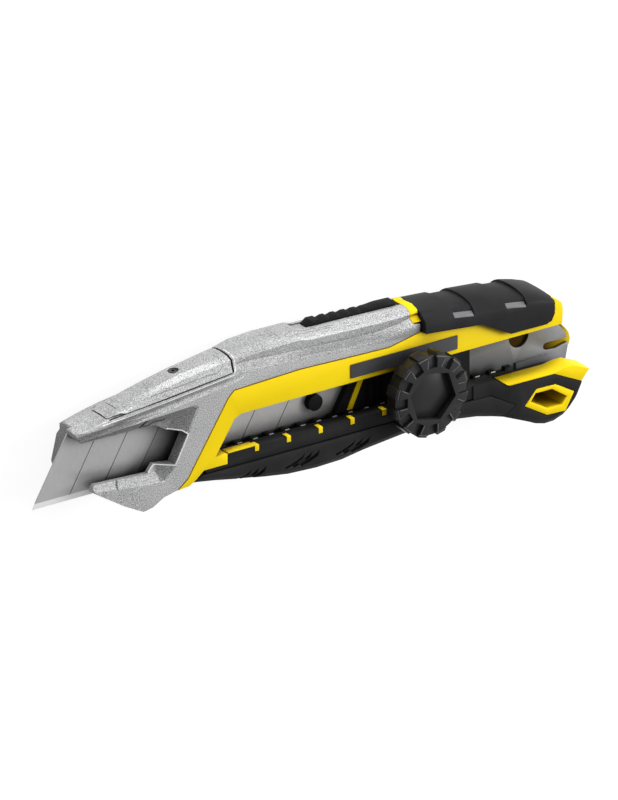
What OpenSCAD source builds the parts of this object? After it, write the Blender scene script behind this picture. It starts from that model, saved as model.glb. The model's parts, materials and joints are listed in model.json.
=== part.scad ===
// Snap-off utility knife with a wheel lock and a built-in blade snapper.
// Design coordinates: the blade's tip is at zero, +X runs to the tail, +Y to the spine,
// +Z out of the side that carries the wheel, and the blade's middle plane is Z = 0.
// placed() then moves the origin to the middle of the knife's box, on its far side.

/* [Blade] */
// Overall length of the blade
blade_len = 100; // [96:1:104]
// Height of the blade from edge to back
blade_h = 18; // [17:0.5:19]
// Thickness of the blade
blade_t = 0.5; // [0.4:0.05:0.6]
// Angle of the score lines to the edge
score_angle = 60; // [56:1:64]
// Pitch of the score lines
score_pitch = 10; // [8:1:12]
// Depth of a score line
score_d = 0.1; // [0.05:0.05:0.15]
// Width of a score line
score_w = 0.3; // [0.2:0.05:0.4]
// Height of the ground edge
bevel_h = 2; // [1.5:0.1:2.5]
// Diameter of the tang hole
tang_hole_d = 4.4; // [4:0.2:5]
// Tang hole's distance from the blade's rear end
tang_inset = 17.2; // [16.8:0.2:18]

/* [Case] */
// Overall length of the knife with the blade at rest
case_len = 161.4; // [156:0.2:166]
// Thickness of the case across its flat side faces
case_w = 12.8; // [12.4:0.2:13.4]
// Space between the two side frames
core_w = 5.2; // [5.2:0.1:5.6]
// Wall of the casting
cast_wall = 1.8; // [1.4:0.1:2.2]
// Thickness of the upper grip across its side faces
grip_w = 16; // [15.2:0.2:16.4]
// Thickness of the lower grip along its middle
belly_w = 13.6; // [13.2:0.1:13.8]
// Thickness of the tail
tail_w = 17; // [16.6:0.2:18]
// Height of the window above the blade's edge, at its lower rail
rail_top = 3.8; // [3.6:0.1:4.2]
// Distance from the blade's back down to the window's upper rail
window_drop = 4.4; // [4:0.1:4.6]
// Width of the yellow band across the spine
band_len = 2.4; // [2:0.1:3]
// How far the band leans back from the spine's middle to the shoulders
band_lean = 1.1; // [0.8:0.1:1.2]

/* [Channel and rack] */
// Thickness of the channel's steel
channel_t = 0.75; // [0.6:0.05:0.8]
// Height of the channel's lips above the blade plane
lip_z = 2.3; // [2:0.1:2.4]
// Pitch of the rack's notches
rack_pitch = 4.7; // [4:0.1:5.5]
// Depth of a rack notch
notch_d = 0.8; // [0.5:0.1:1.2]

/* [Wheel] */
// Diameter of the wheel across its lugs
wheel_d = 21.8; // [20.8:0.2:22]
// Thickness of the wheel
wheel_t = 7.8; // [7.2:0.2:8.6]
// Number of lugs on the rim
lugs = 12; // [10:1:14]
// Width across the corners of the hexagonal recess
cap_d = 13.8; // [13:0.2:14]
// Diameter of the clamping bolt
bolt_d = 5; // [4.5:0.5:5.5]
// Wheel axis behind the blade's rear end
wheel_inset = 8.65; // [8.2:0.05:9]
// Height of the wheel axis over the blade's edge
wheel_y = 8.5; // [8.3:0.1:9]

/* [Snapper] */
// Forward travel of the thumb slide
snap_travel = 3; // [2:0.5:3]
// Swing of the lever at the end of that travel, in degrees
lever_swing = 4; // [3:0.5:4]
// Lever pivot's distance from the blade tip at rest
pivot_x = 41.8; // [41:0.2:42.6]
// Diameter of the pivot pin
pin_d = 2; // [1.6:0.1:2.4]
// Diameter of the lever's rear peg
peg_d = 2; // [1.6:0.1:2.2]
// Peg's distance behind the pivot
peg_reach = 10.2; // [9.8:0.2:10.6]
// Width of the thumb slide
thumb_w = 3; // [2.6:0.2:3.6]
// Length of the thumb slide
thumb_len = 26.6; // [25:0.2:27]
// Number of ridges on the thumb slide
ridges = 5; // [4:1:6]

/* [Fits] */
// Clearance on each side of the blade
blade_gap = 0.35; // [0.3:0.05:0.4]
// Radial clearance of turning fits
run_gap = 0.05; // [0.03:0.01:0.1]
// Gap between sliding pieces
slide_gap = 0.2; // [0.15:0.05:0.25]
// Seam between fixed pieces
seam = 0.1; // [0.05:0.05:0.15]

/* [Hidden] */
$fn = 48;
far = 60;                                   // more than any depth that a cutter needs
face = case_w / 2;                          // side faces of casting and frames
core = core_w / 2;                          // inner faces of the frames
grip_face = grip_w / 2;
belly_face = belly_w / 2;
tail_face = tail_w / 2;
window_top = blade_h - window_drop;
slant = blade_h / tan(score_angle);         // how far the ends lean over the blade's height
lowest_y = -11.4;                           // bottom of the tail
crown_y = blade_h + 13.2;                   // just over the spine and the thumb slide
slot_half = blade_t / 2 + blade_gap;
plate_z = -blade_t / 2 - 0.1;               // carriage plate's face, under the blade
plate_back = -1.5;
web_z = plate_back - slide_gap - 0.05;      // channel web's front face
channel_low = -0.5;                         // inner faces of the channel's flanges
channel_top = blade_h + 0.5;
channel_x = 50;
channel_x1 = tail(2.1);
wheel_x = blade_len + wheel_inset;
carriage_x1 = wheel_x + 18;
boss_r = 4.2;
boss_top = face + 0.5;
washer_t = 0.24;
wheel_back = boss_top + washer_t + 0.06;
wheel_face = wheel_back + wheel_t;
hub_r = 6.2;
tang_x = blade_len - tang_inset;
lever_x0 = 19.8;                            // front and rear of the lever
lever_x1 = 55.8;
ledge_slope = 0.11;
ledge_gap = 0.15;
slide_angle = 2.3;                          // the thumb slide's floor falls toward the tail
floor_x = 77.2;                             // front end of that floor
floor_y = blade_h + 11.1;                   // its height there
thumb_x = floor_x + snap_travel + 0.1;      // front of the thumb slide
band_x0 = thumb_x + thumb_len + 0.9;        // the band follows close behind it
band_x1 = band_x0 + band_len;
band_y = blade_h + 6.5;                     // lower end of the band
spine_end = band_x1 + 1.8;                  // rear end of the spine's form, under the upper grip
grip_x0 = band_x1 + seam;
grip_x1 = tail(11.5);
rail_x1 = tail(35.2);                       // the window's lower rail widens to the tail here
cam_y = blade_h + 4.1;                      // underside of the cam strip
cam_t = 0.9;
peg_x = pivot_x + peg_reach;
stem_x = 86;                                // the thumb slide's stem
stem_len = 6;
stem_y = blade_h + 8.9;                     // joint between the stem and the cam strip's tab
cam_half = 2.3;
peg_r = peg_d / 2;
swing_z = peg_reach * sin(lever_swing);     // how far the peg swings aside
cam_slope = atan(swing_z / snap_travel);
cam_slot = sqrt(pow(snap_travel, 2) + pow(swing_z, 2));
spring_r = 1.5;
spring_y = blade_h + 7.2;
grip_core = 5;                              // half thickness of the frames under the upper grip
screw_places = [[100, blade_h + 4.2], [along_grip(0.13), blade_h + 4.2],
    [along_grip(0.51), blade_h + 3.2]];
liner_at = [tail(13.4), -4.6];              // middle of the lanyard hole
tail_top = 2.4;                             // the tail's upper edge behind the window

// A place measured from the tail's end, and one at a share of the upper grip's length
function tail(distance) = case_len - distance;
function along_grip(share) = grip_x0 + share * (grip_x1 - grip_x0);

// ---------- helpers ----------

// Moves the design coordinates to the part's own frame
module placed() {
    translate([-case_len / 2, -(crown_y + lowest_y) / 2, tail_face]) children();
}

// A side outline between two depths
module slab(z0, z1) {
    translate([0, 0, z0]) linear_extrude(z1 - z0) children();
}

// The same on both sides of the blade plane
module both(z0, z1) {
    slab(z0, z1) children();
    slab(-z1, -z0) children();
}

module box(low, high) {
    translate(low) cube(high - low);
}

// A round bar along Y
module bar_y(x, z, y0, y1, r) {
    translate([x, y0, z]) rotate([-90, 0, 0]) cylinder(r = r, h = y1 - y0);
}

// A straight groove in a side outline's plane, leaning like the blade's score lines
module leaning(x, y, len, wide, angle) {
    translate([x, y]) rotate(angle) translate([0, -wide / 2]) square([len, wide]);
}

// Full ring of points from a half section [[z, y], ...] that starts at the spine
function ring(half) = concat(half, [for (i = [len(half) - 1 : -1 : 0])
    if (half[i][0] > 0) [-half[i][0], half[i][1]]]);

// Solid through rings given as [[x, half section], ...]
module loft(stations) {
    rings = [for (s = stations) [for (q = ring(s[1])) [s[0], q[1], q[0]]]];
    n = len(rings[0]);
    m = len(rings);
    polyhedron([for (r = rings) each r], concat(
        [[for (i = [0 : n - 1]) i]],
        [[for (i = [n - 1 : -1 : 0]) (m - 1) * n + i]],
        [for (k = [0 : m - 2], i = [0 : n - 1]) let (a = k * n + i, b = k * n + (i + 1) % n)
            each [[a, a + n, b + n], [a, b + n, b]]]), convexity = 8);
}

// ---------- casting and lever: one outer form ----------

// Height of the spine's middle line
function spine_y(x) = blade_h + lookup(x, [[8, 0.6], [12, 1.4], [16, 2.2], [20, 3.0], [24, 4.2],
    [30, 6], [36, 7.6], [42, 9], [49, 9.8], [56, 10.45], [62, 11.5], [68, 11.85], [75, 12],
    [76.4, 12], [78.6, 11.4], [92, 11.1], [107, 10.6], [112, 10.3]]);

// How far the shoulders lie under the middle line
function crown(x) = lookup(x, [[8, 0.3], [24, 0.5], [42, 1.4], [49, 1.2], [56, 0.9], [62, 0.7],
    [70, 1.0], [79, 1.2], [92, 1.5], [103, 1.6], [112, 1.1]]);

function shoulder_z(x) = face - lookup(x, [[8, 2.9], [24, 2.7], [42, 2.4], [49, 2.2], [56, 2.0],
    [62, 1.6], [70, 1.4], [79, 1.8], [92, 1.9], [111, 2.2]]);

// The side faces draw in toward the nose
function side_z(x) = face - lookup(x, [[8, 1.6], [12, 1.1], [16, 0.6], [24, 0.2], [30, 0]]);

// The ledge that the lever lies on
function ledge_y(x) = blade_h + 2.5 + ledge_slope * (x - lever_x0);

// A shallow trough runs along the side under the ledge and fades out toward the spine
function nose_half(x) = let (y = spine_y(x), s = shoulder_z(x), w = side_z(x), c = crown(x),
    l = min(ledge_y(x), y - c - 0.2), trough = lookup(x, [[16, 0.5], [36, 0.35], [56, 0]]))
    [[0, y], [s * 0.62, y - 0.25 * c], [s, y - c], [s + 0.4, (y - c + l) / 2 + 0.1],
     [max(s + 0.6, w - lookup(x, [[20, 1.6], [56, 0.9]])), l], [w - 0.35, l - 0.15],
     [w - 0.35 - trough, l - 1.4], [w, l - 2.2 - trough], [w, lowest_y]];

// The wall draws in under the shoulder, then flares out to the side face
function spine_half(x) = let (y = spine_y(x), s = shoulder_z(x), c = crown(x),
    flare = blade_h + lookup(x, [[56, 7], [75, 5.9], [98, 4.4], [106, 5.2], [110, 6.2]]))
    [[0, y], [s * 0.62, y - 0.15 * c], [s, y - c], [s + 0.4, y - c - 0.8],
     [s + 0.1, flare + 1.7], [face - 0.35, flare + 0.3], [face - 0.1, flare - 0.2],
     [face, flare - 0.8], [face, lowest_y]];

module outer_form() {
    loft(concat([for (x = [8, 12, 16, 20, 24, 30, 36, 42, 49, 56]) [x, nose_half(x)]],
        [for (x = [61, 68, 75, 76.4, 78.6, 92, 100, band_x0 - 1.8, band_x1 - 0.2, spine_end])
            [x, spine_half(x)]]));
}

// Boundary between silver and yellow on the side face, from the belly to the band
frame_edge = [[38.7, -2.1], [41.7, 0.3], [53.7, blade_h + 0.9], [55.5, blade_h + 2.5],
    [75, blade_h + 3.2], [90.8, blade_h + 2.7], [101.5, blade_h + 2.4]];

// Tip of the casting under the band
casting_tip = [[grip_x0 + 0.3, blade_h + 4.2], [grip_x0 + 0.5, band_y - 0.4]];

// Everything behind a line across the spine that leans back to the shoulders
module behind(x) {
    translate([0, far, 0]) rotate([90, 0, 0]) linear_extrude(far * 2) polygon([[x, 0],
        [x + band_lean, 4.4], [x + band_lean, far], [far * 4, far], [far * 4, -far],
        [x + band_lean, -far], [x + band_lean, -4.4]]);
}

// Lower jaw with its hooked front end
claw_edge = [[15.4, 4.3], [14.8, 3.4], [14.8, 2.6], [23.2, -2.6], [28.7, -5.4], [31.4, -4.9],
    [34.8, -3.0]];

// Stepped inner edge of the pocket behind the exposed blade
pocket_edge = [[33.5, blade_h - 2.2], [36.9, 13.7], [40.6, 12.9], [41.8, 12], [38.1, 4.9],
    [32.9, 5.6], [31.3, 3.5]];

module near_side_outline() {
    polygon(concat([[10.2, 40], [10.2, 17.9], [11.0, blade_h - 0.9], [11.8, blade_h - 1.8]],
        pocket_edge, claw_edge, frame_edge,
        casting_tip, [[band_x0 + band_lean, band_y], [band_x0 + band_lean, 40]]));
}

// The far side has a lip that reaches down behind the blade's first segment
module far_side_outline() {
    difference() {
        union() {
            near_side_outline();
            polygon([[12.1, 40], [11.9, blade_h + 2], [9.1, 9.4], [9.3, 8.4], [10, 8], [16.6, 7.8],
                [18.4, 9], [21.4, blade_h - 2.4], [22, 40]]);
        }
        polygon([[8, 40], [12.1, 40], [11.9, blade_h + 2], [9.1, 9.4], [8, 9.4]]);
    }
}

// The pocket's edges slope from the side face down to the blade
module pocket_bevel() {
    hull() {
        slab(face, face + 3) polygon([[7, 3.7], [14.8, 3.0], [20, 2.2], [35.2, 1.1], [38, 3.5],
            [45.3, blade_h + 0.5], [44.2, blade_h + 1.3], [12.8, blade_h], [7, blade_h - 0.4]]);
        slab(4.1, 4.2) polygon([[7, 4.6], [33, 3.9], [38.6, blade_h - 2], [7, blade_h - 1.6]]);
    }
}

// Everything above the ledge, where the lever lies
module lever_space(x0, x1, lift) {
    slab(-far, far) polygon([[x0, ledge_y(x0) + lift], [x1, ledge_y(x1) + lift],
        [x1, crown_y + 9], [x0, crown_y + 9]]);
}

// Space swept by the lever's finger between the far wall and the blade
module finger_space() {
    slab(-4.0, -0.5) polygon([[11.9, 8.7], [17.2, 8.7], [18.8, blade_h - 2.4],
        [31.2, blade_h - 2.4], [31.2, blade_h + 0.5], [24, blade_h + 1.2], [13.4, blade_h + 0.7]]);
    slab(-4.2, -1.0) polygon([[21, blade_h], [31.2, blade_h], [31.2, 40], [21, 40]]);
}

// The bent slot in which the thumb slide's stem runs, and the floor under the thumb slide
module on_slide_axis() {
    translate([floor_x, floor_y, 0]) rotate(-slide_angle) children();
}

module thumb_floor_cut() {
    on_slide_axis() {
        slab(-thumb_w / 2 - 0.3, thumb_w / 2 + 0.3)
            polygon([[0, 0], [-2.4, 3], [-2.4, 9], [40, 9], [40, 0]]);
        slab(-1.2, 1.2)
            polygon([[stem_x - floor_x - snap_travel - 0.4, -9], [stem_x - floor_x + stem_len + 0.4,
                -9], [stem_x - floor_x + stem_len + 0.4, 3],
                [stem_x - floor_x - snap_travel - 0.4, 3]]);
    }
}

module die_cast_body() color("silver") placed() difference() {
    intersection() {
        outer_form();
        union() {
            slab(0, far) near_side_outline();
            slab(-far, 0.01) far_side_outline();
        }
    }
    pocket_bevel();
    // the snap line, across the claw and the upper jaw
    intersection() {
        translate([0, 0, -0.45]) pocket_bevel();
        slab(0, far) leaning(19.2, -1, 25, 0.55, score_angle);
    }
    // hollow behind the claw and the stepped edge, so that the near wall is a plate there
    slab(0.3, 3.1) polygon([[13, -0.3], [13, 6.2], [26, 6.2], [26, blade_h - 2.4],
        [45, blade_h - 2.4], [41.8, 3.6], [35, -0.3]]);
    mirror([0, 0, 1]) intersection() {
        pocket_bevel();
        box([22.5, -9, 0], [50, 30, far]);
    }
    lever_space(lever_x0 - 0.4, lever_x1 + 0.55, 0);
    finger_space();
    // blade slot, then the track of the carriage plate and of the stud
    box([5, -0.6, -slot_half], [60, blade_h + 0.4, slot_half]);
    box([26, -0.6, web_z - 0.1], [60, blade_h + 0.4, 0.3]);
    box([30, wheel_y - 3.2, -1], [60, wheel_y + 3.2, 2.3]);
    // room for the channel and the carriage block
    box([41.8, channel_low - seam, web_z - 0.1], [60, channel_top + seam, lip_z + seam]);
    box([channel_x - 1, channel_low - channel_t - seam, -core - seam],
        [far * 2, channel_top + channel_t + seam, core + seam]);
    // hollow spine
    box([57.6, lowest_y, -face + cast_wall + 0.4], [far * 2, blade_h + 5.6, face - cast_wall - 0.4]);
    slab(-2.9, 2.9) polygon([[62, blade_h], [62, blade_h + 9.2], [76, blade_h + 9.8],
        [far * 2, blade_h + 8.4], [far * 2, blade_h]]);
    box([peg_x - 8, cam_y - 0.3, -3.3], [66, cam_y + cam_t + 0.5, 3.3]);
    box([peg_x - 1.5, cam_y, -2.2], [peg_x + 1.5, 40, 2.2]);
    thumb_floor_cut();
    bar_y(pivot_x, 0, blade_h + 0.2, 40, pin_d / 2 + 0.02);
    screw_shanks(1.3);
    screw_heads(2.1, grip_core);
    intersection() {
        behind(band_x0);
        box([band_x0 - 1, band_y, -far], [far * 3, far, far]);
    }
}

module snap_lever() color("silver") placed() difference() {
    union() {
        intersection() {
            outer_form();
            lever_space(lever_x0, lever_x1, ledge_gap);
            translate([0, 40, 0]) rotate([90, 0, 0]) linear_extrude(40) polygon([
                [lever_x0, -3.4], [23.4, -3.9], [30, -7], [lever_x1, -7], [lever_x1, 7], [30, 7],
                [23.4, 3.9], [lever_x0, 3.4]]);
        }
        // finger behind the blade's first segment
        slab(-3.4, -2.5) polygon([[12.6, 9.3], [16.4, 9.3], [18, blade_h - 1.8],
            [30.4, blade_h - 1.8], [30.4, ledge_y(30) + 1], [22, ledge_y(22) + 0.5],
            [22, blade_h + 0.2], [14.2, blade_h + 0.2]]);
        bar_y(peg_x, 0, cam_y + 0.05, ledge_y(peg_x) + 1, peg_d / 2);
    }
    bar_y(pivot_x, 0, blade_h, 40, pin_d / 2 + run_gap);
    bar_y(pivot_x, 0, spine_y(pivot_x) - 1.1, 40, pin_d / 2 + 0.4);
    // crease across the front and the plateau's border at the rear
    translate([23.4, spine_y(23.4), 0]) rotate([0, 0, 8]) box([-0.15, -0.15, -5], [0.15, 1, 5]);
}

module lever_pin() color("dimgray") placed() difference() {
    $fn = 32;
    union() {
        bar_y(pivot_x, 0, blade_h + 0.9, spine_y(pivot_x) - 0.5, pin_d / 2);
        bar_y(pivot_x, 0, spine_y(pivot_x) - 1.0, spine_y(pivot_x) - 0.2, pin_d / 2 + 0.3);
    }
    bar_y(pivot_x, 0, spine_y(pivot_x) - 0.7, spine_y(pivot_x), 0.45);
}

module thumb_slide() color("#2a2a2a") placed() on_slide_axis() {
    front = thumb_x - floor_x;
    ridge = 3.1;
    slab(-thumb_w / 2, thumb_w / 2) difference() {
        polygon([[front, 0.15], [front + 1.6, 1.45], [front + 3.4, 1.45],
            [front + 18.6, 1.25], [front + 21.5, 1.6], [front + thumb_len - 0.4, 1.6],
            [front + thumb_len, 1.2], [front + thumb_len, 0.15]]);
        for (k = [0 : ridges - 1]) translate([front + 3.6 + k * ridge, 1.4])
            polygon([[0, 0.5], [0.35, -0.6], [ridge - 0.5, 0.15], [ridge - 0.5, 0.6]]);
    }
    slab(-1, 1) polygon([[stem_x - floor_x, 0.5], [stem_x - floor_x, -1.2],
        [stem_x - floor_x + stem_len, -0.9], [stem_x - floor_x + stem_len, 0.5]]);
}

module snap_cam() color("gray") placed() difference() {
    union() {
        // strip under the spine, wide where the lever's peg runs in it
        translate([0, cam_y, 0]) {
            box([peg_x - 3.4, 0, -cam_half], [peg_x + snap_travel + 3.4, cam_t, cam_half]);
            box([peg_x, 0, -1.4], [stem_x + stem_len, cam_t, 1.4]);
        }
        // upright tab that meets the thumb slide's stem
        box([stem_x, cam_y, -1], [stem_x + stem_len, stem_y - seam, 1]);
    }
    // slanted slot that swings the peg aside as the strip moves forward
    translate([peg_x, cam_y - 1, 0]) rotate([0, cam_slope, 0]) {
        rotate([-90, 0, 0]) cylinder(r = peg_r + 0.15, h = cam_t + 2);
        translate([0, 0, -peg_r - 0.15]) cube([cam_slot, cam_t + 2, peg_d + 0.3]);
        translate([cam_slot, 0, 0]) rotate([-90, 0, 0]) cylinder(r = peg_r + 0.15, h = cam_t + 2);
    }
}

// Coil of wire along X
module slide_spring() color("silver") placed() {
    steps = 10;
    turns = 7;
    wire_r = 0.25;
    n = steps * turns;
    x0 = stem_x + stem_len + 0.3;
    len = band_x0 - 0.2 - x0;
    sides = 4;
    rings = [for (i = [0 : n]) let (a = 360 * i / steps) [for (k = [0 : sides - 1])
        let (b = 360 * k / sides, r = spring_r + wire_r * cos(b))
        [x0 + wire_r + (len - 2 * wire_r) * i / n + wire_r * sin(b),
         spring_y + r * cos(a), r * sin(a)]]];
    polyhedron([for (r = rings) each r], concat(
        [[for (k = [0 : sides - 1]) k]],
        [[for (k = [sides - 1 : -1 : 0]) n * sides + k]],
        [for (i = [0 : n - 1], k = [0 : sides - 1]) let (a = i * sides + k,
            b = i * sides + (k + 1) % sides) each [[a, a + sides, b + sides], [a, b + sides, b]]]),
        convexity = 10);
}

// ---------- frames ----------

// Boundary of the yellow under the upper grip, from the band to the tail
grip_edge = [[grip_x0 + 0.8, blade_h + 6.9], [grip_x0 + 0.8, blade_h + 3.9],
    [tail(33.3), blade_h + 2.2], [tail(24.8), blade_h - 2.4], [tail(14.2), blade_h - 2.5],
    [tail(12.7), blade_h - 1.9], [tail(11.8), blade_h - 0.1], [tail(11.7), blade_h + 3.5]];

// Rounded yellow end of the upper tail
tail_edge = [[tail(10.1), blade_h + 2.6], [tail(8.6), blade_h + 1.3], [tail(8.3), blade_h - 0.4],
    [tail(8.5), window_top + 0.1]];

// Front strip of the frames, between the strut and the window
front_edge = [[38.8, -2.2], [42.3, -1.9], [44.4, -0.6], [46.6, 1.2]];

// The frames' side of that boundary
frame_under_grip = [for (i = [1 : 7])
    grip_edge[i] + [i < 2 ? -seam : i > 4 ? seam : 0, -1.2 * seam]];

function shifted(points, by) = [for (p = points) p + by];
function backward(points) = [for (i = [len(points) - 1 : -1 : 0]) points[i]];

module frame_outline(lower) {
    polygon(concat(front_edge, lower, backward(tail_edge),
        backward(frame_under_grip),
        backward(shifted(concat(frame_edge, [casting_tip[0]]), [seam, -seam]))));
}

// Tongue inside the hollow spine, core under the upper grip, and half of the band
module frame_inside() {
    slab(core, face - cast_wall - 0.5) polygon([[58, window_top + 1], [58, blade_h + 5.4],
        [spine_end, blade_h + 5.4], [spine_end, window_top + 1]]);
    slab(seam / 2, grip_core) grip_core_outline(0);
    difference() {
        intersection() {
            outer_form();
            behind(band_x0 + seam);
            slab(seam / 2, far) polygon([[band_x0, band_y + seam], [band_x1 + 2, band_y + seam],
                [band_x1 + 2, far], [band_x0, far]]);
        }
        behind(band_x1);
    }
    box([band_x0 + band_lean, channel_top + channel_t + seam, seam / 2],
        [band_x1, blade_h + 9.2, 2.8]);
    box([band_x0 + band_lean, channel_top + channel_t + seam, seam / 2],
        [spine_end, blade_h + 5.4, 2.8]);
}

module grip_core_outline(gap) {
    polygon([[grip_x0 + 0.9 - gap, channel_top + channel_t + seam - gap],
        [tail(11.4) + gap, channel_top + channel_t + seam - gap],
        [tail(11.6) + gap, blade_h + 2.2 + gap], [tail(17.4), blade_h + 3.6 + gap],
        [along_grip(0.4), blade_h + 5.4 + gap], [grip_x0 + 0.9 - gap, blade_h + 6.3 + gap]]);
}

module near_frame() color("gold") placed() difference() {
    union() {
        slab(core, face) frame_outline([[53.6, 1.2], [53.6, rail_top + 0.1], [50, rail_top + 0.1],
            [55.7, window_top - 0.9], [57.7, window_top]]);
        frame_inside();
    }
    screw_shanks(1.2 + seam);
}

module far_frame() color("gold") placed() difference() {
    mirror([0, 0, 1]) union() {
        slab(core, face) frame_outline([[47, 0.1], [rail_x1, 0.1], [rail_x1, rail_top + 0.1],
            [tail(27.4), rail_top + 0.1], [tail(25.8), strip_top + seam], [tail(0.4), strip_top + seam],
            [case_len, 4.4], [tail(0.4), 6.1], [tail(1.3), 7.4], [tail(2.5), 8.7],
            [tail(4.6), 10.6], [tail(6.8), 12.6]]);
        frame_inside();
    }
    screw_shanks(1.2 + seam);
    screw_heads(2 + seam, grip_core);
}

module screw_shanks(r) {
    for (s = screw_places) translate([s[0], s[1], -face]) cylinder(r = r, h = face + 4.2);
}

module screw_heads(r, depth) {
    for (s = screw_places) translate([s[0], s[1], -far]) cylinder(r = r, h = far - depth);
}

module case_screws() color("dimgray") placed() difference() {
    $fn = 24;
    union() {
        for (s = screw_places) translate([s[0], s[1], 0]) {
            translate([0, 0, -grip_core - 1.2]) cylinder(r = 2, h = 1.15);
            translate([0, 0, -grip_core - 0.1]) cylinder(r = 1.2, h = grip_core + 4);
        }
    }
    for (s = screw_places) translate([s[0], s[1], -grip_core - 2]) cylinder(r = 0.8, h = 1.5, $fn = 6);
}

module blade_channel() color("slategray") placed() difference() {
    union() {
        slab(web_z - channel_t, web_z) polygon([[channel_x, channel_low - channel_t],
            [channel_x, channel_top + channel_t], [tail(11.4), channel_top + channel_t],
            [tail(6.8), window_top], [tail(3.9), 9.2], [tail(2.1), 7], [tail(1.5), 5.1],
            [tail(1.2), 3.2], [tail(1.8), 0.3], [channel_x1, channel_low - channel_t]]);
        slab(web_z - 0.1, lip_z) {
            translate([channel_x, channel_low - channel_t])
                square([channel_x1 - channel_x, channel_t]);
            translate([channel_x, channel_top]) square([tail(11.4) - channel_x, channel_t]);
        }
        box([tail(17), 0.9, web_z - 0.1], [tail(7.6), 2.5, web_z + 0.6]);
    }
    slab(-far, far) {
        translate([tail(15.8), 9.1]) circle(2.9);
        translate([tail(7.6), 4.45]) circle(0.95);
        polygon([[tail(7.6), 3.5], [tail(5), 3.3], [tail(1.4), 4.1], [tail(-4), 4.1],
            [tail(-4), 5.4], [tail(7.6), 5.4]]);
    }
}

module rack_strip() color("#262626") placed() slab(0.9, core - seam) difference() {
    translate([54.2, channel_low + 0.1]) square([tail(20.8) - 54.2, 4.4]);
    for (x = [56 : rack_pitch : tail(22.4)]) translate([x, 4.0 - notch_d])
        polygon([[0, 0], [rack_pitch * 0.55, 0], [rack_pitch * 0.65, 2], [0, 2]]);
}

clip_x0 = 62.3;                             // first of the clips over the rail
clip_pitch = 9.45;
clips = 5;

// The window's lower rail and the hooked tail are one moulding, the belly is let into it
module lower_rail() color("#262626") placed() difference() {
    union() {
        slab(core, face) polygon([[47.4, 0.3], [rail_x1 + 1, 0.3], [rail_x1 + 1, rail_top],
            [53.8, rail_top], [53.8, 1.05], [46.9, 1.05]]);
        intersection() {
            under_form([rail_x1 + seam, tail(30.4), tail(26.4), tail(22.4), tail(19.4), tail(17.4),
                tail(14.7), tail(12), tail(9.2), tail(7.4), tail(5.6), tail(4.3), tail(3.6)]);
            slab(-far, far) difference() {
                polygon([[0, -20], [case_len, -20], [case_len, -2], [tail(4.3), -2.05],
                    [tail(12.2), 1.85], [tail(25.4), 2], [tail(26.6), 2.4],
                    [tail(28.3), rail_top - seam], [0, rail_top - seam]]);
                polygon(lanyard_hexagon(seam));
                belly_outline(seam + 0.1);
            }
        }
    }
    channel_room();
    for (k = [0 : clips - 1]) translate([clip_x0 + k * clip_pitch, rail_top, 0])
        box([-0.7, -1.4, face - 0.5], [0.7, 1, far]);
}

module rail_clips() color("gold") placed() {
    for (k = [0 : clips - 1]) translate([clip_x0 + k * clip_pitch, rail_top, 0]) {
        box([-0.6, -1.3, face - 0.45], [0.6, 0.3, face + 0.1]);
        box([-0.6, 0.05, face - 2], [0.6, 0.3, face]);
    }
    box([53.8, rail_top + 0.05, core + 1.1], [clip_x0 - 0.5, rail_top + 0.3, face - 0.1]);
}

module label_plate() color("#333333") placed() slab(face + 0.02, face + 0.27)
    translate([90, window_top + 1.25]) square([tail(39.7) - 90, 3.6]);

// ---------- blade and carriage ----------

module blade() color("lightgray") placed() difference() {
    slab(-blade_t / 2, blade_t / 2) polygon([[0, 0], [blade_len - slant, 0], [blade_len, blade_h],
        [slant, blade_h]]);
    // ground edge on both faces
    for (side = [0, 1]) mirror([0, 0, side]) translate([-1, 0, 0.03])
        rotate([atan((blade_t / 2 - 0.03) / bevel_h), 0, 0])
        translate([0, -bevel_h, 0]) cube([blade_len + 2, bevel_h * 2.02, blade_t]);
    // score lines on both faces
    for (side = [0, 1]) mirror([0, 0, side]) slab(blade_t / 2 - score_d, 1)
        for (x = [score_pitch : score_pitch : blade_len - slant - 1.2 * score_pitch])
            leaning(x, 0, blade_h / sin(score_angle), score_w, score_angle);
    translate([tang_x, wheel_y, -1]) cylinder(r = tang_hole_d / 2, h = 2);
}

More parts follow.
